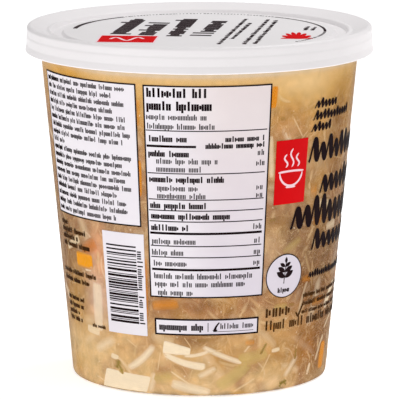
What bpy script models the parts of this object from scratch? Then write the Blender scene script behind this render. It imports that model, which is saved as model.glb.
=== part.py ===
# Tub of soup: a thin tapered plastic tub, the soup that fills it and a lid snapped over its rim.
# Metres, +Z up. The origin is the middle of the tub's base, on the surface that it stands on.
# Every piece is turned about +Z. A profile is a list of (radius, height) points that starts on
# the axis, and runs down its outer side from top to bottom.
from math import atan2, cos, pi, radians, sin

import bpy

# Driving dimensions
HEIGHT = 0.1188              # base to the lid's top
LID_RADIUS = 0.0585          # lower edge of the lid's skirt
SKIRT_BOTTOM = 0.1100        # height of the skirt's lower edge
TUB_BASE_RADIUS = 0.04304    # where the tub's wall would meet the floor, had it no rounded corner
TUB_TOP_RADIUS = 0.05346     # outside of the tub at the height of the skirt's lower edge
TUB_WALL = 0.0008            # thickness of the wall
TUB_FLOOR = 0.0010           # thickness of the base
SOUP_LEVEL = 0.1074
GAP = 0.0003                 # left between pieces that touch

# Tub details
CORNER_RADIUS = 0.0013       # rounding between the wall and the base, outside
LIP_RADIUS = 0.0571          # outside of the lip that the lid snaps over
LIP_TOP = 0.1170
LIP_HEIGHT = 0.0024
LIP_ROUNDING = 0.0005
FLARE_HEIGHT = 0.0034        # the wall flares out over this height to meet the lip

# Lid details
LID_WALL = 0.0009
PANEL_TOP = 0.1165           # flat middle of the lid
PANEL_RADIUS = 0.0456
GROOVE_TOP = 0.11575         # floor of the groove round the flat middle
GROOVE_RADIUS = 0.0492
RIDGE_TOP = 0.1172           # low ridge outside the groove
RIDGE_RADIUS = 0.0504
SLOPE_FOOT_RADIUS = 0.0515   # the slope climbs from here to the rounded top
BEAD_RADIUS = 0.0012         # rounding of the lid's top edge
BEAD_START = radians(112.5)  # where the slope runs into that rounding
BEAD_STEPS = 10              # straight pieces in it, so that one point is at the very top
LID_TOP_RADIUS = 0.0580      # outside of the lid just under that edge
SKIRT_STEP = 0.00012         # the skirt steps out by this much at two heights
SKIRT_STEP_HEIGHTS = (0.1157, 0.1125)

STEPS = 72                   # sides of every turned piece
ARC_STEPS = 4                # straight pieces in each rounded corner

WALL_SLOPE = (TUB_TOP_RADIUS - TUB_BASE_RADIUS) / SKIRT_BOTTOM
WALL_ANGLE = atan2(TUB_TOP_RADIUS - TUB_BASE_RADIUS, SKIRT_BOTTOM)


def clear_scene():
    for thing in list(bpy.data.objects):
        bpy.data.objects.remove(thing, do_unlink=True)


def make_material(name, colour, roughness, alpha=1.0):
    material = bpy.data.materials.new(name)
    material.use_nodes = True
    shader = material.node_tree.nodes["Principled BSDF"]
    shader.inputs["Base Color"].default_value = (*colour, 1.0)
    shader.inputs["Roughness"].default_value = roughness
    shader.inputs["Metallic"].default_value = 0.0
    shader.inputs["Alpha"].default_value = alpha
    return material


def arc(centre, radius, start, end, steps=ARC_STEPS):
    # Points on a circle about centre, from the start angle to the end angle
    angles = [start + (end - start) * step / steps for step in range(steps + 1)]
    return [(centre[0] + radius * cos(a), centre[1] + radius * sin(a)) for a in angles]


def wall_radius(height, inset):
    # Radius of the tapered wall at this height, moved in square to itself by inset
    return TUB_BASE_RADIUS + WALL_SLOPE * height - inset / cos(WALL_ANGLE)


def lower_corner(inset, floor_height, corner_radius):
    # Rounded corner between the tapered wall and a flat floor, from the wall in to the floor
    centre_height = floor_height + corner_radius
    centre = (wall_radius(centre_height, inset + corner_radius), centre_height)
    return arc(centre, corner_radius, -WALL_ANGLE, -pi / 2)


def turn(name, profile, material, collection):
    # Turns a profile about +Z into a closed solid
    mesh = bpy.data.meshes.new(name)
    points = [(radius, 0.0, height) for radius, height in profile]
    edges = [(i, i + 1) for i in range(len(points) - 1)]
    mesh.from_pydata(points, edges, [])
    mesh.materials.append(material)
    solid = bpy.data.objects.new(name, mesh)
    collection.objects.link(solid)
    screw = solid.modifiers.new("Turn", "SCREW")
    screw.axis = "Z"
    screw.angle = 2 * pi
    screw.steps = STEPS
    screw.render_steps = STEPS
    screw.use_merge_vertices = True
    screw.merge_threshold = 0.00001
    screw.use_smooth_shade = True
    return solid


def tub_profile():
    # Up the inside from the floor's middle, over the lip, and down the outside
    inner_corner = CORNER_RADIUS - TUB_WALL + GAP
    inside = lower_corner(TUB_WALL, TUB_FLOOR, inner_corner)[::-1]
    flare_foot = LIP_TOP - FLARE_HEIGHT
    inside.append((wall_radius(flare_foot, TUB_WALL), flare_foot))
    inner_lip_radius = LIP_RADIUS - LIP_HEIGHT
    inside.append((inner_lip_radius - TUB_WALL, LIP_TOP - 2 * TUB_WALL))
    inside.append((inner_lip_radius, LIP_TOP - TUB_WALL / 2))
    inside.append((inner_lip_radius + TUB_WALL, LIP_TOP))

    rounding = LIP_ROUNDING
    lip = arc((LIP_RADIUS - rounding, LIP_TOP - rounding), rounding, pi / 2, 0)
    lip_foot = LIP_TOP - LIP_HEIGHT
    lip += arc((LIP_RADIUS - rounding, lip_foot + rounding), rounding, 0, -pi / 2)
    lip.append((wall_radius(flare_foot, 0) + TUB_WALL, lip_foot))

    outside = [(wall_radius(flare_foot - TUB_WALL, 0), flare_foot - TUB_WALL)]
    outside += lower_corner(0.0, 0.0, CORNER_RADIUS)
    return [(0.0, TUB_FLOOR)] + inside + lip + outside + [(0.0, 0.0)]


def soup_profile():
    # Flat top at the level shown, a wall that follows the tub's inside, and a flat bottom
    inset = TUB_WALL + GAP
    top_radius = wall_radius(SOUP_LEVEL, inset)
    corner = lower_corner(inset, TUB_FLOOR + GAP, CORNER_RADIUS - TUB_WALL)
    return [(0.0, SOUP_LEVEL), (top_radius, SOUP_LEVEL)] + corner + [(0.0, TUB_FLOOR + GAP)]


def lid_profile():
    # Out over the top: flat middle, groove, ridge, slope and rounded edge
    groove_depth = PANEL_TOP - GROOVE_TOP
    top = [
        (0.0, PANEL_TOP),
        (PANEL_RADIUS, PANEL_TOP),
        (PANEL_RADIUS + groove_depth, GROOVE_TOP),
        (GROOVE_RADIUS, GROOVE_TOP),
        (RIDGE_RADIUS - LID_WALL / 2, RIDGE_TOP - LID_WALL / 3),
        (RIDGE_RADIUS, RIDGE_TOP),
        (SLOPE_FOOT_RADIUS, RIDGE_TOP - LID_WALL / 3),
    ]
    bead_centre = (LID_TOP_RADIUS - BEAD_RADIUS, HEIGHT - BEAD_RADIUS)
    top += arc(bead_centre, BEAD_RADIUS, BEAD_START, 0, BEAD_STEPS)

    # Down the skirt, which steps out twice, and round its lower edge
    side = []
    step_radius = LID_TOP_RADIUS
    for height in SKIRT_STEP_HEIGHTS:
        side.append((step_radius, height))
        step_radius += SKIRT_STEP
        side.append((step_radius, height - 2 * SKIRT_STEP))
    edge = LID_WALL / 2
    side += arc((LID_RADIUS - edge, SKIRT_BOTTOM + edge), edge, 0, -pi)

    # Up the skirt's inside, over the tub's lip and in along the underside
    inner_top_radius = LID_TOP_RADIUS - LID_WALL + GAP
    under_top = HEIGHT - LID_WALL
    under_rounding = BEAD_RADIUS / 2
    under_centre = (inner_top_radius - under_rounding, under_top - under_rounding)
    underside = arc(under_centre, under_rounding, 0, pi / 2)
    underside += [
        (LIP_RADIUS - LIP_HEIGHT + TUB_WALL + GAP, LIP_TOP + 2 * GAP),
        (SLOPE_FOOT_RADIUS + GAP, RIDGE_TOP - LID_WALL - GAP),
        (RIDGE_RADIUS, RIDGE_TOP - LID_WALL - GAP),
        (GROOVE_RADIUS + GAP, GROOVE_TOP - LID_WALL),
        (PANEL_RADIUS + groove_depth - GAP, GROOVE_TOP - LID_WALL),
        (PANEL_RADIUS - GAP, PANEL_TOP - LID_WALL),
        (0.0, PANEL_TOP - LID_WALL),
    ]
    return top + side + underside


def build():
    clear_scene()
    collection = bpy.data.collections.new("soup_tub")
    bpy.context.scene.collection.children.link(collection)
    clear_plastic = make_material("clear_plastic", (0.90, 0.88, 0.84), 0.25, alpha=0.3)
    white_plastic = make_material("white_plastic", (0.87, 0.85, 0.84), 0.35)
    broth = make_material("broth", (0.62, 0.42, 0.20), 0.30)
    turn("tub", tub_profile(), clear_plastic, collection)
    turn("soup", soup_profile(), broth, collection)
    turn("lid", lid_profile(), white_plastic, collection)


build()
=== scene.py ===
import math

import bpy
import numpy as np
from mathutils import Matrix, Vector


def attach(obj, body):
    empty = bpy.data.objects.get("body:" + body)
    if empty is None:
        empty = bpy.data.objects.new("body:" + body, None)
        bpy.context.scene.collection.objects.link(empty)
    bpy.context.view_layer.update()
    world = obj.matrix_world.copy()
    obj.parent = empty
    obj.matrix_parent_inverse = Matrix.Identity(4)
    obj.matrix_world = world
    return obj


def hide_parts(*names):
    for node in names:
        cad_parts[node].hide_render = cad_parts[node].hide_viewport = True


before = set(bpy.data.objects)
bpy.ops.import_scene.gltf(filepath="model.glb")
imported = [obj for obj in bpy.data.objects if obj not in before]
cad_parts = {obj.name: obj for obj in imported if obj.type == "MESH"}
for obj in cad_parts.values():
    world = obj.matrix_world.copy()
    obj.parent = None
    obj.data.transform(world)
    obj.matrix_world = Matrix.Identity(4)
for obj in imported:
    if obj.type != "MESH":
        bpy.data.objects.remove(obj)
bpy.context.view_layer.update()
scene = bpy.context.scene
mm = 0.001

tub = {
    "baseRadius": 43.04,   # outside, where the wall would meet the floor
    "topRadius": 53.46,    # outside, at the lower edge of the lid's skirt
    "topHeight": 110.0,
    "wall": 0.8,
    "floor": 1.0,
    "corner": 1.3,         # rounding between wall and base
    "soupLevel": 107.4,
    "steps": 288,
}
wallSlope = (tub["topRadius"] - tub["baseRadius"]) / tub["topHeight"]
wallStretch = math.sqrt(1 + wallSlope ** 2)


def tone(red, green, blue):
    # A screen colour, 0 to 255, as linear light
    share = np.array([red, green, blue]) / 255
    linear = np.where(share < 0.04045, share / 12.92, ((share + 0.055) / 1.055) ** 2.4)
    return tuple(float(value) for value in linear)


def wallRadius(height, depth=0.0):
    # Radius of the cone at this height, less its rounded lower corner and less depth into the wall
    rise = np.clip(1 - np.asarray(height, float) / tub["corner"], 0, 1)
    cornerCut = tub["corner"] * (1 - np.sqrt(1 - rise ** 2))
    return tub["baseRadius"] + wallSlope * np.asarray(height) - cornerCut - depth * wallStretch


def onWall(angle, height, depth):
    # The point on the wall at an angle and a height, moved straight in by depth
    radius = wallRadius(height, depth)
    turn = np.radians(angle)
    points = np.broadcast_arrays(radius * np.sin(turn), -radius * np.cos(turn), height)
    return np.stack(points, -1) * mm


def onBase(across, along, depth):
    # The point on the tub's base at x and y, moved straight up by depth
    return np.stack(np.broadcast_arrays(across, along, depth), -1) * mm


def onLid(across, along, depth):
    # The point on the lid's flat middle at x and y, moved straight down by depth
    return np.stack(np.broadcast_arrays(across, along, lid["panel"][1] - depth), -1) * mm


def waves(points, size, seed, count=28):
    # Smooth noise of about unit spread: a sum of sine waves in random directions, whose lengths
    # lie round size
    draw = np.random.default_rng(seed)
    direction = draw.normal(size=(count, 3))
    direction /= np.linalg.norm(direction, axis=1)[:, None]
    rate = 2 * math.pi / (size * mm * draw.uniform(0.6, 1.7, count))
    phase = draw.uniform(0, 2 * math.pi, count)
    total = np.zeros(points.shape[:-1])
    for way, speed, start in zip(direction, rate, phase):
        total += np.sin(points @ way * speed + start)
    return total / math.sqrt(count / 2)


def softStep(value, low, high):
    # Runs smoothly from 0 at low to 1 at high
    share = np.clip((value - low) / (high - low), 0, 1)
    return share * share * (3 - 2 * share)


def tubeFaces(count, rings, sides):
    # Faces of closed tubes. Each tube is a pole, rings of sides points, and a second pole.
    size = rings * sides + 2
    ring, side = np.meshgrid(np.arange(rings - 1), np.arange(sides), indexing="ij")
    here = 1 + ring * sides + side
    beside = 1 + ring * sides + (side + 1) % sides
    quads = np.stack([here, beside, beside + sides, here + sides], -1).reshape(-1, 4)
    side = np.arange(sides)
    beside = (side + 1) % sides
    start = np.stack([0 * side, 1 + beside, 1 + side], -1)
    last = 1 + (rings - 1) * sides
    end = np.stack([0 * side + size - 1, last + side, last + beside], -1)
    shift = np.arange(count)[:, None, None] * size
    tris = np.concatenate([start, end])
    return [(quads + shift).reshape(-1, 4), (tris + shift).reshape(-1, 3)]


def slabFaces(count, rows, columns):
    # Faces of thin closed slabs. Each slab is a front grid, a back grid, and a rim between them.
    size = rows * columns
    grid = np.arange(size).reshape(rows, columns)
    corners = [grid[:-1, :-1], grid[:-1, 1:], grid[1:, 1:], grid[1:, :-1]]
    front = np.stack(corners, -1).reshape(-1, 4)
    back = front[:, ::-1] + size
    edge = [grid[0, :-1], grid[:-1, -1], grid[-1, :0:-1], grid[:0:-1, 0]]
    border = np.concatenate(edge)
    following = np.roll(border, -1)
    rim = np.stack([following, border, border + size, following + size], -1)
    quads = np.concatenate([front, back, rim])
    shift = np.arange(count)[:, None, None] * size * 2
    return [(quads + shift).reshape(-1, 4)]


def joined(parts):
    # Several (points, faces) as one, with the faces renumbered
    points = np.concatenate([part[0] for part in parts])
    faces = []
    first = 0
    for part in parts:
        faces += [face + first for face in part[1]]
        first += len(part[0])
    return points, faces


def outward(points, faces):
    # Turns every face over if the signed volume that they enclose is negative
    volume = 0.0
    for face in faces:
        for corner in range(1, face.shape[1] - 1):
            first, second, third = (points[face[:, pick]] for pick in (0, corner, corner + 1))
            volume += np.einsum("ij,ij->", first, np.cross(second, third))
    return faces if volume > 0 else [face[:, ::-1] for face in faces]


def addPiece(name, points, faces, material, replaced=None, tint=None, grain=None):
    # Puts the arrays into a mesh that rides on the tub. tint is a colour for each point, and grain
    # is a (length, width) pair for each point, which becomes the UV map.
    faces = outward(points, faces)
    corners = np.concatenate([face.ravel() for face in faces])
    sizes = np.concatenate([np.full(len(face), face.shape[1]) for face in faces])
    starts = np.cumsum(sizes) - sizes
    mesh = bpy.data.meshes.new(name)
    mesh.vertices.add(len(points))
    mesh.vertices.foreach_set("co", points.astype(np.float32).ravel())
    mesh.loops.add(len(corners))
    mesh.loops.foreach_set("vertex_index", corners.astype(np.int32))
    mesh.polygons.add(len(starts))
    mesh.polygons.foreach_set("loop_start", starts.astype(np.int32))
    mesh.update(calc_edges=True)
    mesh.shade_smooth()
    mesh.set_sharp_from_angle(angle=math.radians(50))
    if tint is not None:
        colour = np.concatenate([tint, np.ones((len(tint), 1))], 1)
        layer = mesh.color_attributes.new(name="tint", type="FLOAT_COLOR", domain="POINT")
        layer.data.foreach_set("color", colour.astype(np.float32).ravel())
    if grain is not None:
        layer = mesh.uv_layers.new(name="grain")
        layer.data.foreach_set("uv", grain[corners].astype(np.float32).ravel())
    mesh.materials.append(material)
    piece = bpy.data.objects.new(name, mesh)
    scene.collection.objects.link(piece)
    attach(piece, "root")
    if replaced:
        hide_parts(replaced)
    print("made", name, "with", int((sizes - 2).sum()), "triangles")
    return piece


def softened(profile, reach, steps=4):
    # Rounds each inner corner of a profile: a curve starts and ends at reach from the corner, and a
    # point a little further on keeps the flat beside it flat
    profile = np.array(profile, float)
    points = [profile[0]]
    for before, corner, after in zip(profile[:-2], profile[1:-1], profile[2:]):
        inward, onward = before - corner, after - corner
        short, long = np.linalg.norm(inward), np.linalg.norm(onward)
        entry = corner + inward / short * min(reach, short * 0.4)
        leave = corner + onward / long * min(reach, long * 0.4)
        if short > 4 * reach:
            points.append(entry + inward / short * reach * 0.4)
        share = np.linspace(0, 1, steps + 1)[:, None]
        curve = (1 - share) ** 2 * entry + 2 * share * (1 - share) * corner + share ** 2 * leave
        points += list(curve)
        if long > 4 * reach:
            points.append(leave + onward / long * reach * 0.4)
    points.append(profile[-1])
    return np.array(points)


def arc(centre, radius, start, end, steps):
    # Points on a circle about centre, from the start angle to the end angle, in degrees
    turn = np.radians(np.linspace(start, end, steps + 1))
    points = [centre[0] + radius * np.cos(turn), centre[1] + radius * np.sin(turn)]
    return list(np.stack(points, 1))


def turned(profile, steps):
    # A (radius, height) profile from axis to axis, turned about +Z, in metres
    turn = np.arange(steps) * 2 * math.pi / steps
    radius, height = profile[1:-1, 0][:, None], profile[1:-1, 1][:, None]
    rings = np.stack([radius * np.sin(turn), -radius * np.cos(turn), height + 0 * turn], -1)
    poles = [[[0, 0, profile[0, 1]]], [[0, 0, profile[-1, 1]]]]
    points = np.concatenate([poles[0], rings.reshape(-1, 3), poles[1]]) * mm
    return points, tubeFaces(1, len(profile) - 2, steps)


def addNode(tree, kind, sockets=None, **settings):
    # Adds a node. A socket is given as a value, or as the output that is linked to it.
    made = tree.nodes.new(kind)
    for key, value in settings.items():
        setattr(made, key, value)
    for key, value in (sockets or {}).items():
        if isinstance(value, bpy.types.NodeSocket):
            tree.links.new(value, made.inputs[key])
        else:
            made.inputs[key].default_value = value
    return made


def noise(tree, place, scale, detail=3, roughness=0.55, distortion=0):
    # Smooth noise round 0.5, with about scale waves a metre
    sockets = {"Vector": place, "Scale": scale, "Detail": detail}
    sockets.update({"Roughness": roughness, "Distortion": distortion})
    return addNode(tree, "ShaderNodeTexNoise", sockets).outputs["Fac"]


def spread(tree, value, low, high, toLow, toHigh):
    # Maps a value from one range to another, and keeps it there
    sockets = {0: value, 1: low, 2: high, 3: toLow, 4: toHigh}
    return addNode(tree, "ShaderNodeMapRange", sockets).outputs[0]


def worked(tree, operation, first, second=0):
    # One step of arithmetic on values
    sockets = {0: first, 1: second}
    return addNode(tree, "ShaderNodeMath", sockets, operation=operation).outputs[0]


def blendColour(tree, share, first, second, kind="MIX"):
    # Mixes two colours, each an output or three numbers
    sockets = {0: share}
    for key, colour in ((6, first), (7, second)):
        linked = isinstance(colour, bpy.types.NodeSocket)
        sockets[key] = colour if linked else (*colour, 1)
    settings = {"data_type": "RGBA", "blend_type": kind}
    return addNode(tree, "ShaderNodeMix", sockets, **settings).outputs[2]


def startFinish(name, sockets):
    # A new material, its nodes, its shader with the plain sockets set, and Object coordinates
    material = bpy.data.materials.new(name)
    material.use_nodes = True
    tree = material.node_tree
    shader = tree.nodes["Principled BSDF"]
    for key, value in sockets.items():
        shader.inputs[key].default_value = value
    return material, tree, shader, addNode(tree, "ShaderNodeTexCoord").outputs["Object"]


def endFinish(tree, shader, colour, uneven, roughness, height, bump):
    # Links the colour, a roughness that runs between two values as uneven does, and a bump in mm
    rough = spread(tree, uneven, 0.3, 0.7, *roughness)
    sockets = {"Height": height, "Distance": bump * mm, "Strength": 1}
    normal = addNode(tree, "ShaderNodeBump", sockets).outputs["Normal"]
    for key, output in {"Base Color": colour, "Roughness": rough, "Normal": normal}.items():
        tree.links.new(output, shader.inputs[key])


def plasticFinish(name, look):
    # Plastic: its colour drifts between two tones, over a slow ripple and finer pressing marks
    material, tree, shader, place = startFinish(name, look["sockets"])
    colour = blendColour(tree, noise(tree, place, look["driftScale"]), *look["tones"])
    uneven = noise(tree, place, look["unevenScale"])
    ripple = noise(tree, place, look["rippleScale"], look["rippleDetail"])
    endFinish(tree, shader, colour, uneven, look["roughness"], ripple, look["ripple"])
    return material


def inkFinish(name, tones, roughness=0.45, gloss=0.005, tinted=False):
    # Printing ink: its colour drifts between two tones, and its layer is faintly uneven. A tinted
    # one is also scaled by the mesh's tint, which on the white fields is painted shade.
    material, tree, shader, place = startFinish(name, {"Specular IOR Level": gloss})
    drift = spread(tree, noise(tree, place, ink["driftScale"], 4), 0.32, 0.68, 0, 1)
    colour = blendColour(tree, drift, *tones)
    if tinted:
        tint = addNode(tree, "ShaderNodeAttribute", attribute_name="tint").outputs["Color"]
        colour = blendColour(tree, 1, colour, tint, "MULTIPLY")
    rough = (roughness - ink["uneven"], roughness + ink["uneven"])
    uneven, grain = noise(tree, place, ink["unevenScale"]), noise(tree, place, ink["grainScale"])
    endFinish(tree, shader, colour, uneven, rough, grain, ink["grain"])
    return material


def scaledTint(tree, lightness):
    # The mesh's own tint times a lightness
    tint = addNode(tree, "ShaderNodeAttribute", attribute_name="tint").outputs["Color"]
    sockets = {0: tint, "Scale": lightness}
    return addNode(tree, "ShaderNodeVectorMath", sockets, operation="SCALE").outputs["Vector"]


damp = {"IOR": 1.4, "Specular IOR Level": 0.005}   # the surface of broth, and of food in it


def foodFinish(name, look):
    # Food in broth: the mesh's tint with soft mottling, and streaks along the piece's length where
    # it has a grain
    material, tree, shader, place = startFinish(name, damp)
    height = noise(tree, place, look["mottleScale"], 4, 0.6, 0.4)
    lightness = spread(tree, height, 0.28, 0.72, 1 - look["mottle"], 1 + look["mottle"])
    if "streak" in look:
        grain = addNode(tree, "ShaderNodeUVMap", uv_map="grain").outputs["UV"]
        sockets = {"Vector": grain, "Scale": look["streakScale"]}
        stretched = addNode(tree, "ShaderNodeMapping", sockets).outputs["Vector"]
        height = noise(tree, stretched, 1, 3, 0.6)
        streaks = spread(tree, height, 0.3, 0.7, 1 - look["streak"], 1 + look["streak"])
        lightness = worked(tree, "MULTIPLY", lightness, streaks)
    colour, fine = scaledTint(tree, lightness), noise(tree, place, look["mottleScale"] * 3)
    endFinish(tree, shader, colour, fine, look["roughness"], height, look["bump"])
    return material


def brothFinish(look):
    # The mesh's tint with soft mottling, and pale curved fibres where a slow noise crosses its
    # middle value, in a coarse and a fine layer
    material, tree, shader, place = startFinish("brothSkin", damp)
    mottle = noise(tree, place, look["mottleScale"], 5, 0.6, 0.5)
    lightness = spread(tree, mottle, 0.28, 0.72, 1 - look["mottle"], 1 + look["mottle"])
    colour = scaledTint(tree, lightness)
    level = addNode(tree, "ShaderNodeSeparateXYZ", {0: place}).outputs["Z"]
    settled = spread(tree, level, look["clearFrom"] * mm, look["clearOver"] * mm, 1, 0.15)
    for scale in look["threadScales"]:
        field = noise(tree, place, scale, 2, 0.5, 1.6)
        away = worked(tree, "ABSOLUTE", worked(tree, "SUBTRACT", field, 0.5))
        thread = spread(tree, away, 0, look["threadWidth"], 1, 0)
        patch = spread(tree, noise(tree, place, scale * 0.6), 0.4, 0.62, 0, look["threadShare"])
        share = worked(tree, "MULTIPLY", worked(tree, "MULTIPLY", thread, patch), settled)
        colour = blendColour(tree, share, colour, look["thread"])
    fine = noise(tree, place, look["mottleScale"] * 3)
    endFinish(tree, shader, colour, fine, look["roughness"], mottle, look["bump"])
    return material


tubLook = {
    "tones": (tone(236, 214, 180), tone(220, 190, 150)), "driftScale": 90,
    "sockets": {"Alpha": 0.045, "IOR": 1.49},
    "unevenScale": 260, "roughness": (0.14, 0.26),
    "rippleScale": 45, "rippleDetail": 2, "ripple": 0.10,
    "lipRadius": 57.1, "lipTop": 117.0, "lipHeight": 2.4, "lipRounding": 0.5, "flare": 3.4,
    "waist": 20,                            # height of a ring that keeps the low wall straight
    "footRing": 36.0, "footRecess": 0.25,   # the base is pressed in a little inside a foot ring
    "gate": 2.2, "gateTip": 1.6, "gateHeight": 0.05,   # a small stud in the middle of the base
}


def makeTub():
    # Up the inside from the middle of the floor, over the lip, down the outside, and in along a
    # base that is pressed up slightly inside its foot ring
    look, wall, floor, corner = tubLook, tub["wall"], tub["floor"], tub["corner"]
    lean = math.degrees(math.atan(wallSlope))
    innerCorner = corner - wall + 0.3
    insideCentre = floor + innerCorner
    innerAxis = tub["baseRadius"] + wallSlope * insideCentre - (wall + innerCorner) * wallStretch
    profile = [[0, floor]]
    profile += arc((innerAxis, insideCentre), innerCorner, -90, -lean, 8)
    waist, lipTop, lipRadius = look["waist"], look["lipTop"], look["lipRadius"]
    flareFoot = lipTop - look["flare"]
    lipInside = lipRadius - look["lipHeight"]
    profile += [[float(wallRadius(height, wall)), height] for height in (waist, flareFoot)]
    profile += [[lipInside - wall, lipTop - 2 * wall], [lipInside, lipTop - wall / 2]]
    profile += [[lipInside + wall, lipTop]]
    edge, lipFoot = look["lipRounding"], lipTop - look["lipHeight"]
    profile += arc((lipRadius - edge, lipTop - edge), edge, 90, 0, 6)
    profile += arc((lipRadius - edge, lipFoot + edge), edge, 0, -90, 6)
    profile += [[float(wallRadius(flareFoot)) + wall, lipFoot]]
    profile += [[float(wallRadius(height)), height] for height in (flareFoot - wall, waist)]
    outerAxis = tub["baseRadius"] + wallSlope * corner - corner * wallStretch
    profile += arc((outerAxis, corner), corner, -lean, -90, 8)
    ring, recess, stud = look["footRing"], look["footRecess"], look["gateHeight"]
    profile += [[ring + 1, 0], [ring, recess], [look["gate"], recess], [look["gateTip"], stud]]
    profile += [[0, stud]]
    points, faces = turned(softened(profile, 0.12, 3), tub["steps"])
    clear = plasticFinish("clearPlastic", look)
    addPiece("tubWall", points, faces, clear, replaced="tub")


lid = {
    "tones": (tone(245, 241, 242), tone(239, 235, 236)), "driftScale": 60,
    "sockets": {"IOR": 1.5, "Specular IOR Level": 0.24},
    "unevenScale": 150, "roughness": (0.36, 0.42),
    "rippleScale": 120, "rippleDetail": 1, "ripple": 0.004,
    "panel": (45.6, 116.5), "groove": (49.2, 115.75), "ridge": (50.4, 117.2),   # radius, height
    "top": 118.8, "slopeFoot": 51.5, "bead": 1.2, "topRadius": 58.0,
    "skirtRadius": 58.5, "skirtBottom": 110.0,
    "wall": 0.9, "step": 0.12, "stepHeights": (115.7, 112.5), "gap": 0.3,
    "gateRadius": 1.6, "gateDepth": 0.18,   # small dimple at the middle, where the plastic came in
}


def makeLid():
    # Out over the top, down a skirt that steps out twice, up its inside and in along the underside
    wall, gap, bead, top = lid["wall"], lid["gap"], lid["bead"], lid["top"]
    panelRadius, panelTop = lid["panel"]
    grooveRadius, grooveTop = lid["groove"]
    ridgeRadius, ridgeTop = lid["ridge"]
    slopeFoot, gate, radius = lid["slopeFoot"], lid["gateRadius"], lid["topRadius"]
    dip, gateTop = panelTop - grooveTop, panelTop - lid["gateDepth"]
    profile = [[0, gateTop], [gate * 0.6, gateTop], [gate, panelTop], [panelRadius, panelTop]]
    profile += [[panelRadius + dip, grooveTop], [grooveRadius, grooveTop]]
    profile += [[ridgeRadius - wall / 2, ridgeTop - wall / 3], [ridgeRadius, ridgeTop]]
    profile += [[slopeFoot, ridgeTop - wall / 3]]
    profile += arc((radius - bead, top - bead), bead, 112.5, 0, 20)
    for height in lid["stepHeights"]:
        profile.append([radius, height])
        radius += lid["step"]
        profile.append([radius, height - 5 * lid["step"]])
    edge = wall / 2
    profile += arc((lid["skirtRadius"] - edge, lid["skirtBottom"] + edge), edge, 0, -180, 12)
    inside, under = lid["topRadius"] - wall + gap, top - wall
    profile += arc((inside - bead / 2, under - bead / 2), bead / 2, 0, 90, 6)
    lipInside = tubLook["lipRadius"] - tubLook["lipHeight"] + tub["wall"]
    profile += [[lipInside + gap, tubLook["lipTop"] + 2 * gap]]
    profile += [[slopeFoot + gap, ridgeTop - wall - gap], [ridgeRadius, ridgeTop - wall - gap]]
    profile += [[grooveRadius + gap, grooveTop - wall], [panelRadius + dip - gap, grooveTop - wall]]
    profile += [[panelRadius - gap, panelTop - wall], [0, panelTop - wall]]
    points, faces = turned(softened(profile, 0.16, 3), tub["steps"])
    white = plasticFinish("whitePlastic", lid)
    addPiece("lidShell", points, faces, white, replaced="lid")


broth = {
    # height, and the broth's colour there: a painted dark line at the very foot, painted shade for
    # the base's corner bending the light, then lightest near the foot and over the level, where
    # only a film is left, whose pale colour is partly a painted reflection from the meniscus
    "heights": (0, 0.9, 1.6, 9, 18, 30, 42, 54, 66, 80, 92, 101, 106, 107.4, 108.4, 111),
    "colours": (
        (146, 122, 92), (150, 126, 95), (222, 184, 132), (218, 180, 124), (212, 168, 112),
        (172, 122, 80), (178, 134, 98), (174, 134, 98), (170, 126, 88), (184, 138, 86),
        (200, 148, 82), (222, 174, 100), (232, 188, 122), (228, 188, 128), (226, 202, 170),
        (234, 214, 184),
    ),
    # colour fields: angle, height, half width and half height in mm, colour, strength. Most are
    # patches of the soup's own colour; the dark ones from about 60 to 90 degrees either side are
    # painted shade that darkens the flanks towards the outline
    "fields": (
        (-58, 106, 14, 6, (214, 158, 66), 0.8), (-53, 104, 5, 3, (206, 142, 10), 0.8),
        (-24, 97, 4, 9, (200, 152, 84), 0.5), (42, 105, 12, 5, (240, 204, 146), 0.8),
        (66, 99, 12, 8, (192, 142, 62), 0.8), (34, 95, 8, 6, (192, 136, 66), 0.6),
        (34, 88, 8, 5, (182, 128, 88), 0.6), (-24, 82, 3, 9, (184, 134, 100), 0.6),
        (31, 62, 4, 5, (134, 88, 50), 0.65), (30, 51, 4, 6, (196, 160, 128), 0.6),
        (39, 55, 4, 6, (96, 66, 40), 0.65), (48, 37, 5, 6, (122, 58, 14), 0.8),
        (50, 50, 9, 16, (134, 94, 56), 0.7), (66, 46, 13, 24, (106, 66, 30), 0.8),
        (66, 80, 9, 16, (136, 90, 44), 0.7), (-67, 46, 10, 16, (118, 74, 28), 0.8),
        (-64, 26, 7, 11, (196, 148, 78), 0.7), (-8, 31.5, 20, 3, (150, 98, 58), 0.6),
        (-78, 84, 8, 26, (156, 108, 62), 0.6), (-47, 32, 6, 9, (230, 194, 172), 0.8),
        (-38, 14, 22, 8, (226, 182, 124), 0.6), (-3, 20, 8, 3.5, (134, 86, 44), 0.8),
        (12, 13, 8, 5, (180, 126, 60), 0.7), (36, 15, 9, 7, (186, 134, 66), 0.7),
        (64, 13, 11, 14, (110, 56, 8), 0.95), (53, 12.5, 8, 8, (164, 102, 36), 0.75),
        (56, 33, 9, 6, (112, 68, 28), 0.75), (84, 40, 9, 60, (92, 54, 22), 0.85),
        (-60, 12, 14, 8, (236, 206, 152), 0.4), (-86, 50, 10, 60, (104, 66, 34), 0.8),
        (-60, 35, 6, 7, (180, 134, 70), 0.6), (-45, 47, 4, 9, (234, 162, 118), 0.8),
        (45, 24, 8, 5, (184, 130, 76), 0.4), (64, 88, 6, 8, (130, 84, 36), 0.7),
        (82, 98, 6, 10, (130, 88, 40), 0.6),
    ),
    "drift": ((208, 156, 72), (172, 124, 88), (226, 188, 136)),   # golden, rosy brown, pale
    "driftSize": (17, 12, 6),
    "steps": 480, "wallRings": 150, "baseRings": 26, "topRings": 22, "innerRadius": 3,
    "inset": 0.108, "relief": 0.012, "baseRelief": 0.02, "topRelief": 0.08, "filmTop": 111.4,
    "edge": 1.5,        # the flat part of the bottom ends this far inside the tub's base radius
    "closeness": 0.3,   # scales the depths of all sunk pieces, so that they lie close to the wall
    "bottom": 0.45,
}
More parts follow.
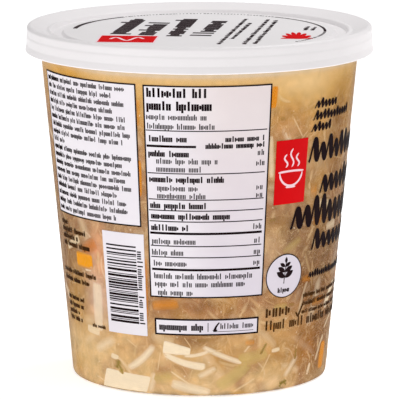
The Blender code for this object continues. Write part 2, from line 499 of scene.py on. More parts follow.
brothLook = {
    "mottleScale": 240.0, "mottle": 0.07, "roughness": (0.22, 0.36), "bump": 0.02,
    "thread": tone(250, 222, 172), "threadScales": (130.0, 300.0), "threadWidth": 0.035,
    "threadShare": 0.34, "clearFrom": 90, "clearOver": 102,   # few fibres float near the level
}


def brothTint(points):
    # The broth's colour at each point, with painted shade in it: by height, then shifted by the
    # named fields, whose strength falls off as a bell, and by three slow drifts. The dark fields at
    # the flanks and the dark line at the foot are painted shade.
    angle = np.degrees(np.arctan2(points[..., 0], -points[..., 1]))
    height = points[..., 2] / mm
    onFloor = np.hypot(points[..., 0], points[..., 1]) / mm < tub["baseRadius"] - broth["edge"]
    height = np.where(onFloor, np.maximum(height, broth["heights"][2]), height)
    stops = np.array([tone(*colour) for colour in broth["colours"]])
    colour = np.stack([np.interp(height, broth["heights"], stop) for stop in stops.T], -1)
    for change, size, seed in zip(broth["drift"], broth["driftSize"], (11, 12, 13)):
        share = softStep(waves(points, size, seed), 0.1, 2.0)
        share = share * (0.45 + 0.35 * softStep(height, 26, 14)) * softStep(height, 106, 94)
        colour += (np.array(tone(*change)) - colour) * share[..., None]
    for place, level, halfWidth, halfHeight, change, strength in broth["fields"]:
        across = np.radians((angle - place + 180) % 360 - 180) * wallRadius(level) / halfWidth
        share = strength * np.exp(-across ** 2 - ((height - level) / halfHeight) ** 2)
        colour += (np.array(tone(*change)) - colour) * share[..., None]
    mottle = 0.05 * waves(points, 7, 14) + 0.05 * waves(points, 2.8, 15)
    mottle = mottle * (0.25 + 0.75 * softStep(height, 104, 94))
    return colour * (1 + mottle[..., None])


def levelRings(radii, angle, height):
    # Circles of points about the axis, all at one height
    turn = np.radians(angle)
    across = np.outer(radii, np.sin(turn))
    return np.stack([across, -np.outer(radii, np.cos(turn)), height + 0 * across], -1) * mm


def makeBroth():
    # One closed shape turned about the axis: its outer side lies inside the tub's wall and is
    # lightly uneven, and over the level a thin film climbs the wall. The profile runs from the
    # middle of the bottom, out, up the wall, over the film's edge and in over the level.
    level, filmTop, bottom = tub["soupLevel"], broth["filmTop"], broth["bottom"]
    inner, steps = broth["innerRadius"], broth["steps"]
    flat = np.linspace(inner, tub["baseRadius"] - broth["edge"], broth["baseRings"])
    side = np.linspace(bottom + 0.15, filmTop, broth["wallRings"])
    film = np.array([filmTop + 0.15, filmTop - 0.5, level + 1.2, level + 0.3, level])
    filmDepth = broth["inset"] + np.array([0.25, 0.5, 0.8, 1.5, 2.6])
    topRadii = np.linspace(tub["topRadius"] - 5, inner, broth["topRings"])
    angle = np.arange(steps) * 360 / steps
    baseRings = levelRings(flat, angle, bottom)
    baseRings[..., 2] += softStep(waves(baseRings, 4, 31), -1.5, 1.5) * broth["baseRelief"] * mm
    plain = onWall(angle[None, :], side[:, None] + 0 * angle, broth["inset"])
    share = softStep(waves(plain, 5, 22) * 0.5 + waves(plain, 11, 23) * 0.6, -1.4, 1.4)
    share = share * softStep(side, bottom, 3.0)[:, None] * softStep(side, 109.5, 107.0)[:, None]
    wallRings = onWall(angle[None, :], side[:, None], broth["inset"] + broth["relief"] * share)
    filmRings = onWall(angle[None, :], film[:, None], filmDepth[:, None])
    topRings = levelRings(topRadii, angle, level)
    topRings[..., 2] += waves(topRings, 9, 24) * broth["topRelief"] * mm
    rings = np.concatenate([baseRings, wallRings, filmRings, topRings])
    poles = [[[0, 0, bottom * mm]], [[0, 0, level * mm]]]
    points = np.concatenate([poles[0], rings.reshape(-1, 3), poles[1]])
    faces, skin = tubeFaces(1, len(rings), steps), brothFinish(brothLook)
    addPiece("brothCore", points, faces, skin, replaced="soup", tint=brothTint(points))


def pebbles(spec, rings, sides, place):
    # Closed bodies along short curved paths, all at once. spec holds arrays, one value a body.
    # The path has a constant bend. Across it, the outer face is a shallow parabola that lies
    # against the wall, with its points crowded towards its edges, and the inner face is a half
    # circle; width falls to nothing at both ends.
    # Gives points, how near each point is to the body's edge (0 to 1) and its grain.
    item = {key: np.asarray(value, float)[:, None, None] for key, value in spec.items()}
    length, phase, ends = item["length"], item["phase"], item["ends"]
    bend = np.where(np.abs(item["bend"]) < 0.01, 0.01, item["bend"])
    cosine, sine = np.cos(item["heading"]), np.sin(item["heading"])

    def laid(half, side, along, depth):
        # Carries a point, half along the straight body and side across it, onto the bent path
        turn = bend * half / length
        localX = half * np.sinc(turn / math.pi) - side * np.sin(turn)
        localY = half * np.sinc(turn / 2 / math.pi) * np.sin(turn / 2) + side * np.cos(turn)
        localY = localY + item["curl"] * length * np.sin(along * 3 + phase)
        shiftX, shiftY = localX * cosine - localY * sine, localX * sine + localY * cosine
        return place(item, shiftX, shiftY, depth + 0 * localX)

    along = np.sin(np.linspace(-math.pi / 2, math.pi / 2, rings + 2))[1:-1][None, :, None]
    evenly = np.linspace(1, -1, sides // 2 + 1)
    outer = np.sign(evenly) * (1 - (1 - np.abs(evenly)) ** 3.3)
    behind = np.linspace(0, math.pi, sides // 2 + 1)[1:-1]
    across = np.concatenate([outer, -np.cos(behind)])[None, None, :]
    through = np.concatenate([0 * outer, np.sin(behind)])[None, None, :]
    swell = (1 - np.abs(along) ** ends) ** (1 / ends)
    width = item["width"] / 2 * swell * (1 + item["taper"] * along)
    width = width * (1 + item["wobble"] * np.sin(along * 5 + phase))
    half = length / 2 * (along + item["skew"] * across * width / length)
    crown = across ** 2 + np.abs(along) ** 4
    depth = item["depth"] + item["bulge"] * crown + item["thickness"] * through * swell
    side = width * across
    body = laid(half, side, along, depth)
    tip = np.array([-1.0, 1.0])[None, :, None]
    tips = laid(length / 2 * tip, 0 * tip, tip, item["depth"] + item["bulge"])
    count = len(body)
    points = np.concatenate([tips[:, 0], body.reshape(count, -1, 3), tips[:, 1]], 1)
    edge = np.maximum(np.abs(across), np.abs(along) ** ends) + 0 * side
    edge = np.where(through > 0.01, 1, edge).reshape(count, -1)
    full = np.ones((count, 1))
    edge = np.concatenate([full, edge, full], 1)
    grain = np.stack([along * length / 2 + 0 * side, side], -1).reshape(count, -1, 2)
    none = np.zeros((count, 1, 2))
    grain = np.concatenate([none, grain, none], 1) + phase[:, 0, :, None] * 10
    return points, edge, grain


def besideWall(item, shiftX, shiftY, depth):
    # Lays a body against the wall at its angle and height; nothing leaves the broth
    height = np.clip(item["height"] + shiftY, 1.0, 106.9)
    angle = item["angle"] + np.degrees(shiftX / wallRadius(item["height"]))
    return onWall(angle, height, depth * broth["closeness"])


def overBase(item, shiftX, shiftY, depth):
    # Lays a body on the tub's base, where angle and height stand for x and y
    rise = depth * broth["closeness"] + 0.30
    return onBase(item["angle"] + shiftX, item["height"] + shiftY, rise)


# A sunk body's values: angles are in radians here, but for its place on the wall. haze is how much
# it takes the broth's colour, soft is how far in from its edge that grows, and ends is high for
# square ends and 2 for round ones.
standard = {
    "angle": 0, "height": 50, "heading": 0, "length": 10, "width": 2, "thickness": 1.0,
    "depth": 0.24, "bulge": 0.06, "bend": 0, "curl": 0, "taper": 0, "skew": 0, "wobble": 0,
    "phase": 0, "ends": 4, "haze": 0.2, "soft": 0.3, "shade": 0,
}


def placed(rows):
    # Bodies given one by one. A row has angle, height, length, width, heading, haze and soft, and a
    # dictionary of what else differs from the standard body.
    first = ("angle", "height", "length", "width", "heading", "haze", "soft")
    rows = [{**standard, **dict(zip(first, row)), **dict(*row[len(first):])} for row in rows]
    return {key: np.array([row[key] for row in rows], float) for key in standard}


def scattered(seed, count, ranges, base=False):
    # Bodies strewn over the wall, or over the base: each value is drawn evenly from its range
    draw = np.random.default_rng(seed)
    spec = {key: np.full(count, float(value)) for key, value in standard.items()}
    spec["angle"] = draw.uniform(-180, 180, count)
    spec["height"] = draw.uniform(1.5, 106, count)
    spec["heading"] = draw.uniform(0, math.pi, count)
    spec["phase"] = draw.uniform(0, 6.28, count)
    spec["shade"] = draw.uniform(-1, 1, count)
    if base:
        turn, reach = draw.uniform(0, 2 * math.pi, count), 37 * np.sqrt(draw.uniform(0, 1, count))
        spec["angle"], spec["height"] = reach * np.cos(turn), reach * np.sin(turn)
    for key, (low, high) in ranges.items():
        spec[key] = draw.uniform(low, high, count)
    if not base:
        kept = draw.uniform(size=count) < softStep(spec["height"], 106, 90)
        spec = {key: value[kept] for key, value in spec.items()}
    return spec


def keepAside(spec, angle):
    # Strewn pieces keep off the front, up to this angle, where others are placed one by one
    away = np.abs(spec["angle"]) > angle
    return {key: value[away] for key, value in spec.items()}


def together(specs):
    # Several sets of bodies as one
    return {key: np.concatenate([spec[key] for spec in specs]) for key in standard}


def makeFood(name, look):
    # One mesh for all bodies of a kind. Each is tinted with its own colour, which gives way to
    # the broth's by its haze, and more so towards its edge, so that deep ones look soft.
    specs = [placed(look.get("placed", ()))]
    for seed, count, kind, angle in look["onSides"]:
        specs.append(keepAside(scattered(seed, count, look[kind]), angle))
    onSides = together(specs)
    if "upright" in look:
        lean = onSides["heading"] - math.pi / 2
        lean = lean * np.abs(lean / (math.pi / 2)) ** look["upright"]
        onSides["heading"] = math.pi / 2 + lean
    under = [scattered(seed, count, look[kind], True) for seed, count, kind in look["onBase"]]
    first, second = (np.array(tone(*colour)) for colour in look["colours"])
    parts, tints, grains = [], [], []
    for spec, place in ((onSides, besideWall), (together(under), overBase)):
        points, edge, grain = pebbles(spec, *look["grid"], place)
        haze = spec["haze"][:, None]
        soft = np.maximum(spec["soft"], 0.02)[:, None]
        haze = haze + (1 - haze) * softStep(edge, 1 - soft, 1.02) * softStep(soft, 0.02, 0.2)
        light = 1 + look["vary"] * spec["shade"][:, None, None]
        share = (0.5 + 0.5 * np.sin(spec["phase"] * 7))[:, None, None]
        own = (first + (second - first) * share) * light
        tints.append((own + (brothTint(points) - own) * haze[..., None]).reshape(-1, 3))
        grains.append(grain.reshape(-1, 2))
        parts.append((points.reshape(-1, 3), tubeFaces(len(points), *look["grid"])))
    points, faces = joined(parts)
    addPiece(name, points, faces, foodFinish(name + "Skin", look),
             tint=np.concatenate(tints), grain=np.concatenate(grains))


# In each look, onSides and onBase strew bodies by seed, count and kind. On the sides, they keep off
# the front up to the last value, an angle. The grid is the rings and the sides of a body.
noodleLook = {
    "grid": (18, 16), "onSides": ((41, 130, "deep", 0), (42, 60, "near", 52)),
    "onBase": ((43, 26, "deep"), (44, 12, "near")),
    "colours": ((250, 231, 200), (240, 214, 172)), "vary": 0.05,
    "mottleScale": 700.0, "mottle": 0.03, "streak": 0.05, "streakScale": (0.25, 2.2, 1),
    "roughness": (0.28, 0.42), "bump": 0.03,
    "placed": (
        (-34.8, 3.4, 18, 7.2, -0.06, 0, 0.08, dict(ends=14, skew=0.5, depth=0.14, phase=-0.22)),
        (-25.6, 12.2, 14.5, 3.4, 0.72, 0.08, 0.8, dict(bend=0.6, thickness=2, ends=3, phase=-0.22)),
        (-9.7, 16.4, 9.2, 3.7, -0.16, 0, 0.15, dict(taper=-0.3, ends=10, depth=0.14, phase=-0.22)),
        (-6.6, 11.8, 15, 2.8, -0.3, 0.05, 0.5, dict(bend=0.5, ends=5, taper=0.25, phase=-0.22)),
        (10.2, 14, 16, 2.4, -0.42, 0.15, 0.7, dict(bend=0.2, phase=-0.22)),
        (-3.8, 3, 14, 4.4, -0.25, 0.15, 0.7, dict(thickness=2, phase=-0.22)),
        (-1, 14.6, 9, 1.6, 0.2, 0.2, 0.6, dict(bend=0.6, phase=-0.22)),
        (3.4, 8.6, 7, 3, 0.5, 0.35, 0.9, dict(phase=-0.22)),
        (-45, 15.5, 12, 5, 0.5, 0.45, 1, dict(thickness=2, ends=2.5, phase=-0.22)),
        (-21, 4.6, 8, 3.4, 1.3, 0.45, 0.9, dict(ends=3, phase=-0.22)),
        (44, 8, 9, 3, 0.9, 0.4, 0.9, dict(ends=3, phase=-0.22)),
        (-47.6, 28, 17, 5.6, 1.52, 0.35, 0.5, dict(thickness=2, ends=6, phase=-0.22)),
        (27.6, 81, 15, 2.4, -1.5, 0.3, 0.6), (48, 31, 15, 1.8, 1.3, 0.55, 0.8, dict(bend=-0.4)),
        (-39.5, 11.8, 3.4, 2, -0.2, 0.1, 0.2, dict(ends=5)), (-52, 19.5, 7, 3.4, -0.1, 0.25, 0.4),
        (34.8, 14.6, 3.4, 1.7, 0.1, 0.25, 0.3, dict(ends=3)),
        (57, 5.4, 4.4, 1.8, 1.2, 0.3, 0.4, dict(ends=3)),
    ),
    "deep": {"length": (8, 20), "width": (3.0, 6.5), "thickness": (1, 2), "depth": (0.29, 0.33),
             "bulge": (0.04, 0.07), "bend": (-0.9, 0.9), "haze": (0.45, 0.85),
             "soft": (0.8, 1.0), "ends": (3, 5)},
    "near": {"length": (5, 13), "width": (1.8, 4.4), "depth": (0.20, 0.26),
             "bulge": (0.04, 0.08), "bend": (-0.5, 0.5), "haze": (0.2, 0.5),
             "soft": (0.3, 0.9), "ends": (5, 10), "taper": (-0.2, 0.2)},
}

strandLook = {
    "grid": (12, 8), "onSides": ((51, 170, "loose", 0),), "onBase": ((52, 50, "loose"),),
    "colours": ((250, 226, 190), (232, 200, 146)), "vary": 0.06,
    "mottleScale": 700.0, "mottle": 0.03, "streak": 0.04, "streakScale": (0.3, 3.0, 1),
    "roughness": (0.28, 0.42), "bump": 0.03,
    "placed": (
        (-7.2, 6, 9.8, 0.75, -0.6, 0.08, 0.2), (39, 90, 8.5, 0.8, -0.98, 0.35, 0.5),
        (-15.4, 17.5, 7, 0.6, 1.5, 0.3, 0.4), (-17.6, 12, 7, 0.5, 1.4, 0.3, 0.4),
        (-30, 17.4, 5, 0.5, -0.6, 0.3, 0.4), (6, 15.5, 6, 0.8, 0.25, 0.3, 0.5),
        (30, 10.5, 7, 0.6, 1.1, 0.3, 0.4), (20, 3.6, 9, 1, 0.5, 0.35, 0.5),
    ),
    "loose": {"length": (5, 16), "width": (0.9, 2.2), "thickness": (0.7, 1.4),
              "depth": (0.25, 0.32), "bulge": (0.04, 0.07), "bend": (-2.0, 2.0),
              "curl": (-0.05, 0.05), "haze": (0.4, 0.85), "soft": (0.7, 1.0), "ends": (2, 4)},
}

shredLook = {
    "grid": (7, 8), "onSides": ((61, 420, "deep", 0), (62, 700, "fibre", 0), (63, 240, "fine", 0)),
    "onBase": ((64, 80, "deep"), (65, 110, "fibre")),
    "upright": 0.35,   # fibres lie at any slant but more of them upright, as they settle in the tub
    "colours": ((240, 206, 156), (208, 166, 114)), "vary": 0.09,
    "mottleScale": 900.0, "mottle": 0.05, "streak": 0.08, "streakScale": (0.3, 5.0, 1),
    "roughness": (0.30, 0.50), "bump": 0.04,
    "deep": {"length": (5, 15), "width": (1.4, 3.4), "thickness": (0.5, 1.2),
             "depth": (0.31, 0.35), "bulge": (0.02, 0.04), "bend": (-0.8, 0.8),
             "curl": (-0.03, 0.03), "haze": (0.35, 0.8), "soft": (1, 1), "ends": (2, 3)},
    "fibre": {"length": (3, 12), "width": (0.5, 1.1), "thickness": (0.3, 0.7),
              "depth": (0.28, 0.34), "bulge": (0.02, 0.04), "bend": (-0.9, 0.9),
              "curl": (-0.03, 0.03), "haze": (0.35, 0.8), "soft": (1, 1), "ends": (2, 3)},
    "fine": {"length": (2, 8), "width": (0.3, 0.6), "thickness": (0.2, 0.4),
             "depth": (0.26, 0.30), "bulge": (0.02, 0.04), "bend": (-0.6, 0.6),
             "curl": (-0.02, 0.02), "haze": (0.1, 0.5), "soft": (0.6, 1.0), "ends": (2, 3)},
}

# Painted shade between the fibres: dark pieces that stand for the shadows there, partly darker
# broth
shadowLook = {
    "grid": (7, 8), "onSides": ((71, 300, "gap", 0),), "onBase": ((72, 70, "gap"),),
    "colours": ((142, 96, 52), (172, 118, 48)), "vary": 0.05,
    "mottleScale": 500.0, "mottle": 0.05, "streak": 0.05, "streakScale": (0.3, 4.0, 1),
    "roughness": (0.25, 0.4), "bump": 0.04,
    "gap": {"length": (3, 11), "width": (1.4, 4.5), "thickness": (0.4, 0.8),
            "depth": (0.33, 0.35), "bulge": (0.02, 0.04), "bend": (-1.2, 1.2),
            "curl": (-0.04, 0.04), "haze": (0.45, 0.85), "soft": (1, 1), "ends": (2, 3)},
}

carrotLook = {
    "grid": (14, 16), "onSides": ((81, 56, "dice", 84),), "onBase": ((82, 9, "dice"),),
    "colours": ((238, 156, 8), (206, 112, 16)), "vary": 0.08,
    "mottleScale": 600.0, "mottle": 0.05, "streak": 0.07, "streakScale": (0.3, 1.4, 1),
    "roughness": (0.25, 0.40), "bump": 0.04,
    "placed": (
        (70, 8.4, 10, 6.4, 1.45, 0.1, 0.5, dict(ends=3, depth=0.14, shade=-0.8, phase=-0.05)),
        (22, 18.2, 3.6, 2.4, 0, 0.55, 0.8, dict(shade=0.6)), (-14.2, 31.6, 9.5, 4.4, 0.1, 0.3, 0.7),
        (-54.6, 43.2, 9.6, 5.8, 0, 0, 0.3, dict(shade=0.4, ends=6, depth=0.14, phase=-0.22)),
        (-50.6, 48, 9, 5.4, 0.5, 0.25, 0.7, dict(depth=0.16, shade=-1, phase=0.22)),
        (82, 51.5, 4, 3.4, 0, 0.25, 0.5), (27.7, 101, 7.6, 2.8, 1.5, 0, 0.4, dict(shade=0.6)),
        (-22.8, 96, 9, 2, 1.5, 0.5, 0.4),
        (-23.2, 74, 12.5, 2.2, 1.55, 0.08, 0.25, dict(shade=-0.4, depth=0.12)),
        (-22.3, 36.5, 22, 1.8, 1.55, 0.5, 0.4, dict(shade=-0.4, depth=0.12)),
        (-62, 102.6, 12, 3.4, 0, 0.55, 0.8, dict(shade=-0.6)), (50, 37.5, 5, 3.4, 0, 0.55, 0.9),
        (54, 57, 5, 4, 0, 0.6, 0.9), (60, 28.6, 8, 3.4, 0, 0.55, 0.9),
        (33, 22.6, 6, 3, 0, 0.5, 0.9), (50, 67.5, 3.6, 6, 0, 0.6, 0.9),
    ),
    "dice": {"length": (5, 10), "width": (4, 7.5), "thickness": (2, 4), "depth": (0.22, 0.32),
             "bulge": (0.04, 0.08), "haze": (0.15, 0.65), "soft": (0.3, 1.0), "ends": (3, 6),
             "taper": (-0.15, 0.15)},
}

celeryLook = {
    "grid": (14, 12), "onSides": ((91, 60, "slices", 84),), "onBase": ((92, 9, "slices"),),
    "colours": ((206, 178, 96), (212, 190, 120)), "vary": 0.05,
    "mottleScale": 500.0, "mottle": 0.04, "streak": 0.07, "streakScale": (0.2, 2.6, 1),
    "roughness": (0.22, 0.38), "bump": 0.05,
    "placed": (
        (23.5, 12.8, 11, 5.4, 0.2, 0.45, 0.5, dict(bend=0.7)),
        (15.5, 7, 14, 5.2, 0.66, 0.4, 0.45, dict(bend=0.6, shade=-1)),
        (-17, 6.4, 8, 5, 0.2, 0.5, 0.7), (40, 50, 9, 4, 0.5, 0.6, 0.8, dict(shade=-1.5)),
        (36, 29.4, 6, 3, 0, 0.5, 0.8),
    ),
    "slices": {"length": (6, 13), "width": (3, 6), "thickness": (1.2, 2.4),
               "depth": (0.22, 0.32), "bulge": (0.04, 0.08), "bend": (-1.2, 1.2),
               "haze": (0.3, 0.7), "soft": (0.4, 1.0), "ends": (3, 6)},
}

parsleyLook = {
    "grid": (9, 8), "onSides": ((101, 150, "flakes", 84),), "onBase": ((102, 20, "flakes"),),
    "colours": ((112, 96, 22), (146, 124, 36)), "vary": 0.15,
    "mottleScale": 1600.0, "mottle": 0.12, "streak": 0.1, "streakScale": (0.6, 3.0, 1),
    "roughness": (0.3, 0.5), "bump": 0.05,
    "placed": (
        (-38, 9.4, 3.4, 2.9, 1.2, 0.1, 0.5, dict(wobble=0.3, depth=0.12)),
        (-36.4, 7.6, 3.2, 2, 1.9, 0.1, 0.5, dict(wobble=0.3, phase=2, depth=0.12)),
        (-37, 8.6, 4.4, 1.8, -1, 0.2, 0.6, dict(wobble=0.3, phase=4, depth=0.13)),
        (40, 2.9, 3.4, 1.9, 0.2, 0, 0.5, dict(wobble=0.4, depth=0.12)),
        (39, 2.5, 2.6, 1.5, 0.9, 0, 0.5, dict(wobble=0.4, depth=0.12)),
        (40.8, 2.6, 2.4, 1.3, 2.5, 0, 0.5, dict(wobble=0.4, depth=0.12)),
        (28.5, 15.6, 4.4, 1.2, 1.05, 0.1, 0.5, dict(depth=0.12)),
        (46.5, 12, 3.8, 1.1, 1.5, 0.25, 0.6, dict(depth=0.12)), (31.6, 93.5, 3, 1.6, 0, 0.75, 0.8),
        (29.5, 59.5, 3, 1.4, 0, 0.7, 0.8), (2, 19.6, 5, 1.6, 0, 0.75, 0.8),
        (42, 29.5, 2.6, 1.6, 0, 0.55, 0.8),
    ),
    "flakes": {"length": (1.4, 3.4), "width": (0.5, 1.8), "thickness": (0.2, 0.5),
               "depth": (0.13, 0.24), "bend": (-1.5, 1.5), "haze": (0.1, 0.6),
               "soft": (0.3, 0.8), "ends": (2, 4), "wobble": (0.1, 0.45), "taper": (-0.3, 0.3)},
}

fatLook = {
    "grid": (4, 8), "onSides": ((111, 420, "drops", 0),), "onBase": ((112, 60, "drops"),),
    "colours": ((244, 222, 180), (250, 236, 206)), "vary": 0.04,
    "mottleScale": 900.0, "mottle": 0.02, "roughness": (0.10, 0.20), "bump": 0.01,
    "drops": {"length": (0.4, 1.1), "width": (0.4, 1.0), "thickness": (0.3, 0.5),
              "depth": (0.14, 0.24), "haze": (0.2, 0.7), "soft": (0.3, 0.8),
              "ends": (2, 2)},
}

foods = {
    "noodlePieces": noodleLook, "noodleStrands": strandLook, "chickenShreds": shredLook,
    "deepBrothAndFibreShade": shadowLook, "carrotPieces": carrotLook, "celeryPieces": celeryLook,
    "parsleyFlakes": parsleyLook, "fatDroplets": fatLook,
}


ink = {
    "lift": 0.03,        # gap under the lowest layer of ink
    "layer": 0.03,       # thickness of each layer
    "driftScale": 55, "unevenScale": 700, "uneven": 0.06, "grainScale": 1400, "grain": 0.004,
    # the two tones of each colour
    "white": (tone(242, 237, 242), tone(237, 231, 237)),
    "dark": (tone(26, 16, 20), tone(38, 26, 28)),
    "brown": (tone(56, 34, 16), tone(82, 52, 24)),
    "red": (tone(220, 2, 9), tone(210, 3, 11)),
    "blush": (tone(252, 222, 228), tone(248, 212, 220)),
    "grey": (tone(46, 36, 40), tone(70, 58, 60)),
    # painted shade: how much darker the white is painted right of the front, and there near the top
    "paintedShade": (0.13, 0.15, 0.11), "paintedShadeTop": (0.05, 0.11, 0.16),
    "paintedShadeAngles": (-14, 10), "paintedShadeHeights": (78, 98),
}
# Weights of small print: width of a stroke, and of its place in the row, as shares of the row's
# height, and whether the strokes stand in groups
weights = {
    "lid": (0.32, 0.74, False), "light": (0.18, 0.52), "small": (0.20, 0.52),
    "heavy": (0.24, 0.53), "column": (0.19, 0.62),
}


def slabs(across, up, place, layer):
    # Closed slabs of ink over grids of (across, up), one layer thick, on the given layer
    low = ink["lift"] + layer * ink["layer"]
    front = place(across, up, -(low + ink["layer"]))
    back = place(across, up, -low)
    points = np.stack([front, back], 1).reshape(-1, 3)
    return points, slabFaces(*across.shape)


def boxes(left, right, bottom, top, columns=2):
    # Rectangles as grids of two rows
    sides = (left, right, bottom, top)
    left, right, bottom, top = (np.atleast_1d(value).astype(float) for value in sides)
    share = np.linspace(0, 1, columns)
    across = left[:, None] + (right - left)[:, None] * share
    across = np.stack([across, across], 1)
    up = np.stack([bottom[:, None] + 0 * share, top[:, None] + 0 * share], 1)
    return across, up


def ribbon(pathX, pathY, halfWidth):
    # A stroke of varying width along a path, as a grid of two columns
    slopeX, slopeY = np.gradient(pathX), np.gradient(pathY)
    length = np.hypot(slopeX, slopeY)
    normalX, normalY = -slopeY / length, slopeX / length
    side = np.array([1.0, -1.0])
    across = pathX[:, None] + (normalX * halfWidth)[:, None] * side
    up = pathY[:, None] + (normalY * halfWidth)[:, None] * side
    return across[None], up[None]


def fromPlace(angle, height):
    # Turns local millimetres round a place on the wall into an angle and a height
    def place(across, up, depth):
        return onWall(angle + np.degrees(across / wallRadius(height)), height + up, depth)
    return place


def marks(draw, length, height, stem, advance, grouped=True):
    # A row of plain upright strokes in groups, as (left, right, bottom, top): it has the weight of
    # small print and says nothing. Each place in the row gets one of five patterns of one or two
    # strokes, and after each group of three to nine places one stays empty. stem and advance, the
    # width of a stroke and of a place, are shares of the height.
    count = max(int(length / (height * advance)), 1)
    start = np.arange(count) * length / count
    kind = draw.choice(5, count, p=(0.42, 0.16, 0.18, 0.08, 0.16))
    empty = np.isin(np.arange(count), np.cumsum(draw.integers(4, 11, count)) - 1) & grouped
    second = height * advance * 0.52
    found = []
    patterns = (
        ((0, 0, 0.72), (second, 0, 0.72)),
        ((second / 2, 0, 1.0),),
        ((0, 0, 0.72), (second, 0.16, 0.58)),
        ((0, -0.24, 0.72), (second, 0.05, 0.68)),
        ((0, 0, 1.0), (second, 0, 0.68)),
    )
    for number, pattern in enumerate(patterns):
        chosen = start[(kind == number) & ~empty]
        for shift, low, high in pattern:
            left = chosen + shift
            found.append(np.stack([left, left + stem * height, 0 * left + low * height,
                                   0 * left + high * height], 1))
    return np.concatenate(found)


def rowOnWall(draw, left, right, bottom, height, weight="light"):
    # Marks between two angles on the wall, standing on a line at the given height
    radius = float(wallRadius(bottom))
    found = marks(draw, math.radians(right - left) * radius, height, *weights[weight])
    scale = math.degrees(1 / radius)
    return found * (scale, scale, 1, 1) + (left, left, bottom, bottom)


def wallBoxes(rows, layer, columns=2):
    # Rectangles on the wall, given as (left, right, bottom, top)
    across, up = boxes(*np.atleast_2d(rows).T, columns)
    return slabs(across, up, onWall, layer)


def addPrint(name, parts, finish):
    # Several groups of slabs as one printed piece
    points, faces = joined(parts)
    addPiece(name, points, faces, finish)


def outlineBoxes(left, right, bottom, top, width):
    # The four sides of a frame just inside a field's edge; the upright ones are width mm wide
    turn = math.degrees(width / float(wallRadius((bottom + top) / 2)))
    level = [(left, right, bottom, bottom + width), (left, right, top - width, top)]
    upright = [(left, left + turn, bottom + width, top - width),
               (right - turn, right, bottom + width, top - width)]
    return level, upright


# Fields of white: left and right angle, bottom and top height, width of the dark frame
fields = {
    "wide": (-20.4, 26.6, 34.1, 105.6, 0.48),
    "left": (-73.4, -23.05, 57.6, 105.7, 0.48),
    "striped": (-41.7, -22.3, 20.4, 55.1, 0.0),
    "strip": (-18.85, 25.4, 21.3, 26.95, 0.55),
}
# Rows on the wide field: kind, drop from its top edge, start and end as shares of its width
wideRows = (
    ("title", 1.0, 0.018, 0.536), ("title", 5.3, 0.015, 0.567),
    ("light", 9.6, 0.011, 0.492), ("light", 12.7, 0.010, 0.553), ("rule", 14.9, 0.015, 0.972),
    ("bold", 16.8, 0.021, 0.338), ("smallBold", 17.0, 0.624, 0.958),
    ("smallBold", 19.2, 0.470, 0.961), ("bar", 19.9, 0.016, 0.408),
    ("bold", 21.8, 0.017, 0.353), ("light", 21.8, 0.890, 0.965),
    ("light", 24.3, 0.081, 0.580), ("light", 25.3, 0.880, 0.965),
    ("light", 27.0, 0.079, 0.455), ("rule", 29.2, 0.017, 0.968),
    ("bold", 30.4, 0.017, 0.630), ("light", 33.4, 0.082, 0.423), ("light", 33.4, 0.890, 0.965),
    ("light", 36.0, 0.080, 0.487), ("light", 36.0, 0.890, 0.965), ("rule", 38.0, 0.018, 0.968),
    ("bold", 39.2, 0.018, 0.495), ("rule", 41.7, 0.018, 0.968),
    ("bold", 42.8, 0.023, 0.685), ("rule", 45.4, 0.020, 0.966),
    ("bold", 46.7, 0.020, 0.349), ("light", 46.7, 0.870, 0.965), ("bar", 49.2, 0.020, 0.966),
    ("light", 51.4, 0.024, 0.406), ("light", 51.4, 0.890, 0.965), ("rule", 53.7, 0.022, 0.966),
    ("light", 55.2, 0.020, 0.330), ("light", 55.2, 0.890, 0.965), ("rule", 57.5, 0.024, 0.966),
    ("light", 58.9, 0.026, 0.329), ("light", 58.9, 0.890, 0.965), ("bar", 61.5, 0.026, 0.964),
    ("light", 63.2, 0.031, 0.922), ("light", 65.9, 0.037, 0.833), ("light", 68.8, 0.062, 0.379),
)
rowKinds = {"title": (3.1, "heavy"), "bold": (2.1, "heavy"), "smallBold": (1.85, "heavy"),
            "light": (1.95, "light"), "rule": (0.34, None), "bar": (0.78, None)}
# Shares of the left field's width at which its small rows end
leftRows = (0.93, 0.80, 0.90, 0.80, 0.91, 0.90, 0.94, 0.88, 0.24,
            0.94, 0.88, 0.93, 0.88, 0.93, 0.82, 0.88, 0.91, 0.78)
# Values for the details, in mm or degrees: the round field with its marks, the left field's rows,
# the stripes with the column of marks beside them, and the strip's parts from its lower left corner
roundField = {"angle": 37.0, "height": 39.9, "radius": 7.5, "frame": 0.34,
              "marks": (-3.2, 2.8, -5.6, 1.7)}
leftLook = {"drop": 2.9, "spacing": 2.58, "size": 1.75, "start": 0.035, "heavy": (0, 9)}
stripes = {"foot": 3.9, "head": 4.2, "start": 1.7, "end": 15.8, "sizes": (0.26, 0.26, 0.52, 0.78),
           "column": 16.2, "columnFoot": 3.6, "columnLength": 27, "columnSize": 2.4}
stripLook = {"title": (1.9, 20.5, 1.7, 2.4), "divider": (22.3, 22.6, 1.3, -1.3),
             "row": (27.6, 42, 2.2, 1.9), "rule": (24.6, 42, 1.25, 1.4), "ladle": (25.0, 1.6)}


def makeFields():
    # White fields on the lowest layer, in columns narrow enough to follow the wall. Painted shade
    # darkens them a little from the front towards the right.
    parts = []
    for left, right, bottom, top, frameWidth in fields.values():
        columns = int((right - left) / 1.2) + 2   # one column for each 1.2 degrees
        parts.append(wallBoxes((left, right, bottom, top), 0, columns))
    parts.append(discOnWall(roundField["angle"], roundField["height"], roundField["radius"], 0))
    points, faces = joined(parts)
    angle = np.degrees(np.arctan2(points[:, 0], -points[:, 1]))
    low, high = np.array(ink["paintedShade"]), np.array(ink["paintedShadeTop"])
    upper = softStep(points[:, 2] / mm, *ink["paintedShadeHeights"])[:, None]
    # painted shade: the share by which each point of the white is darkened
    thin = softStep(angle, *ink["paintedShadeAngles"])[:, None] * (low + (high - low) * upper)
    white = inkFinish("whiteInk", ink["white"], tinted=True)
    addPiece("whiteFields", points, faces, white, tint=1 - thin)


